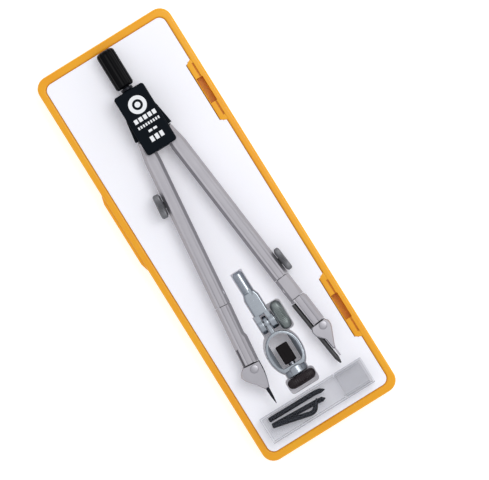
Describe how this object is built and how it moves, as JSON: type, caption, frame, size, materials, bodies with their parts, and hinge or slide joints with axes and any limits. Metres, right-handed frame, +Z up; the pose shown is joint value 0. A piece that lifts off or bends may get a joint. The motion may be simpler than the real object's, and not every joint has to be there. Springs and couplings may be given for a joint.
{
  "type": "drafting compass set",
  "caption": "Drafting compass with jointed legs, a clamping universal pen holder and a clear box of spare points, lying in an open slim plastic case.",
  "frame": {"origin": "centre of the tray's flat underside", "axes": "+Z up out of the open case, +Y along the case towards the compass handle, +X across it towards the side with the lid's hinge sockets"},
  "size_m": [0.0665, 0.19, 0.0263],
  "materials": {
    "case_plastic": "glossy injection moulded",
    "liner_plastic": "satin, vacuum formed",
    "black_plastic": "fine satin moulded",
    "grip_plastic": "satin moulded",
    "satin_nickel": "satin nickel plated",
    "bright_nickel": "bright nickel plated",
    "knurled_knob": "knurled, grey",
    "steel": "turned",
    "dark_steel": "blackened",
    "graphite": "graphite sheen",
    "black_rubber": "matt",
    "clear_plastic": "clear moulded"
  },
  "bodies": {
    "case": {"case_tray": "case_plastic", "case_liner": "liner_plastic"},
    "compass_head": {"head_front_plate": "black_plastic", "head_back_shell": "black_plastic", "handle_stud": "dark_steel", "handle_grip": "grip_plastic", "head_pivot_pin_left": "steel", "head_pivot_pin_right": "steel", "head_screw_left": "steel", "head_screw_right": "steel"},
    "left_leg": {"left_knuckle": "black_plastic", "left_leg": "satin_nickel", "left_knee_pin": "satin_nickel"},
    "left_thumb_screw": {"left_thumb_screw": "knurled_knob"},
    "left_arm": {"left_lower_arm": "satin_nickel", "left_tip_holder": "satin_nickel", "needle_point": "dark_steel"},
    "left_tip_screw": {"left_tip_screw": "steel"},
    "right_leg": {"right_knuckle": "black_plastic", "right_leg": "satin_nickel"},
    "right_thumb_screw": {"right_thumb_screw": "knurled_knob"},
    "right_insert": {"right_insert": "satin_nickel", "right_knee_pin": "satin_nickel"},
    "right_arm": {"right_lower_arm": "satin_nickel", "right_tip_holder": "satin_nickel", "pencil_lead": "graphite"},
    "right_tip_screw": {"right_tip_screw": "steel"},
    "holder_shank": {"holder_shank": "bright_nickel"},
    "holder_thumb_knob": {"holder_thumb_knob": "knurled_knob", "holder_hinge_bolt": "steel"},
    "holder_ring": {"holder_ring": "bright_nickel"},
    "holder_jaw": {"holder_jaw": "black_rubber"},
    "holder_clamp": {"holder_clamp_screw": "steel", "holder_clamp_knob": "grip_plastic"},
    "spares_box": {"spares_tube": "clear_plastic", "spare_point_1": "dark_steel", "spare_point_2": "dark_steel", "spare_point_3": "dark_steel"},
    "spares_cap": {"spares_cap": "clear_plastic"}
  },
  "joints": [
    {"name": "compass_lift", "type": "slide", "parent": "case", "child": "compass_head", "axis": [0, 0, 1], "range_m": [0, 0.06]},
    {"name": "left_leg_swing", "type": "hinge", "parent": "compass_head", "child": "left_leg", "pos_m": [-0.00435, 0.05962, 0.0206], "axis": [0, 0, -1], "range_deg": [-6, 50]},
    {"name": "right_leg_swing", "type": "hinge", "parent": "compass_head", "child": "right_leg", "pos_m": [0.00475, 0.05958, 0.0206], "axis": [0, 0, 1], "range_deg": [-6, 50]},
    {"name": "left_thumb_turn", "type": "hinge", "parent": "left_leg", "child": "left_thumb_screw", "pos_m": [-0.01339, 0.02237, 0.0206], "axis": [-0.9942, 0.1071, 0], "range_deg": [0, 360]},
    {"name": "left_knee", "type": "hinge", "parent": "left_leg", "child": "left_arm", "pos_m": [-0.01154, -0.02208, 0.0206], "axis": [0, 0, 1], "range_deg": [0, 30]},
    {"name": "left_tip_screw_turn", "type": "hinge", "parent": "left_arm", "child": "left_tip_screw", "pos_m": [-0.01637, -0.05656, 0.0239], "axis": [0, 0, 1], "range_deg": [0, 180]},
    {"name": "right_thumb_turn", "type": "hinge", "parent": "right_leg", "child": "right_thumb_screw", "pos_m": [0.01814, -0.02349, 0.0206], "axis": [0.995, 0.1002, 0], "range_deg": [0, 360]},
    {"name": "insert_pull", "type": "slide", "parent": "right_leg", "child": "right_insert", "axis": [0.1002, -0.995, 0], "range_m": [0, 0.0022]},
    {"name": "right_knee", "type": "hinge", "parent": "right_insert", "child": "right_arm", "pos_m": [0.0127, -0.0353, 0.0206], "axis": [0, 0, -1], "range_deg": [0, 40]},
    {"name": "right_tip_screw_turn", "type": "hinge", "parent": "right_arm", "child": "right_tip_screw", "pos_m": [0.018, -0.05607, 0.0239], "axis": [0, 0, 1], "range_deg": [0, 180]},
    {"name": "holder_lift", "type": "slide", "parent": "case", "child": "holder_shank", "axis": [0, 0, 1], "range_m": [0, 0.04]},
    {"name": "holder_fold", "type": "hinge", "parent": "holder_shank", "child": "holder_ring", "pos_m": [-0.0016, -0.0432, 0.0104], "axis": [-1, 0, 0], "range_deg": [0, 90]},
    {"name": "holder_thumb_turn", "type": "hinge", "parent": "holder_shank", "child": "holder_thumb_knob", "pos_m": [-0.0016, -0.0432, 0.0104], "axis": [1, 0, 0], "range_deg": [0, 360]},
    {"name": "jaw_slide", "type": "slide", "parent": "holder_ring", "child": "holder_jaw", "axis": [0, -1, 0], "range_m": [0, 0.00125]},
    {"name": "clamp_turn", "type": "hinge", "parent": "holder_jaw", "child": "holder_clamp", "pos_m": [-0.0016, -0.0432, 0.0104], "axis": [0, 1, 0], "range_deg": [0, 720]},
    {"name": "spares_lift", "type": "slide", "parent": "case", "child": "spares_box", "axis": [0, 0, 1], "range_m": [0, 0.04]},
    {"name": "cap_pull", "type": "slide", "parent": "spares_box", "child": "spares_cap", "axis": [1, 0, 0], "range_m": [0, 0.015]}
  ],
  "couplings": [
    {"joint": "right_leg_swing", "follows": "left_leg_swing", "ratio": 1},
    {"joint": "jaw_slide", "follows": "clamp_turn", "m_per_rad": 0.000095493}
  ]
}
